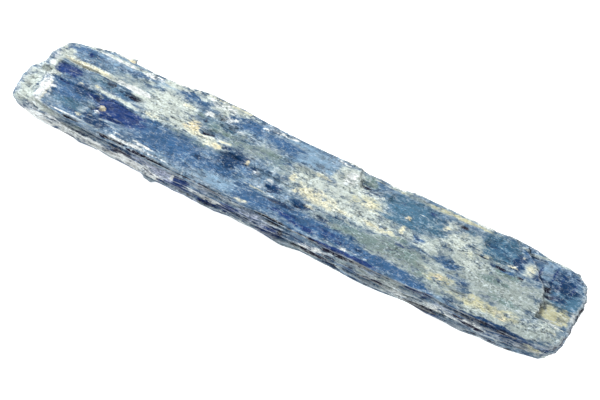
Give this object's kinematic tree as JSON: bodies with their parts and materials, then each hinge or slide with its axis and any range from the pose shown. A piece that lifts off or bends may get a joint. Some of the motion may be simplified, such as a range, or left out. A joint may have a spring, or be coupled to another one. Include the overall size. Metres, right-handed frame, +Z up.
{
  "type": "kyanite blade",
  "caption": "Raw lath-shaped kyanite blade of intergrown cleavage laminae, stepped and splintery, with one flat cleavage face to rest on.",
  "frame": {"origin": "middle of the bounding box of the flat underside, at the level that the blade rests on", "axes": "+X along the blade towards its square-broken thin end, +Z up, normal to the main cleavage face"},
  "size_m": [0.1014, 0.0178, 0.0056],
  "materials": {
    "kyanite": "vitreous to pearly on cleavage faces, splintery and duller on broken edges"
  },
  "bodies": {
    "root": {"kyanite_blade": "kyanite"}
  },
  "joints": []
}
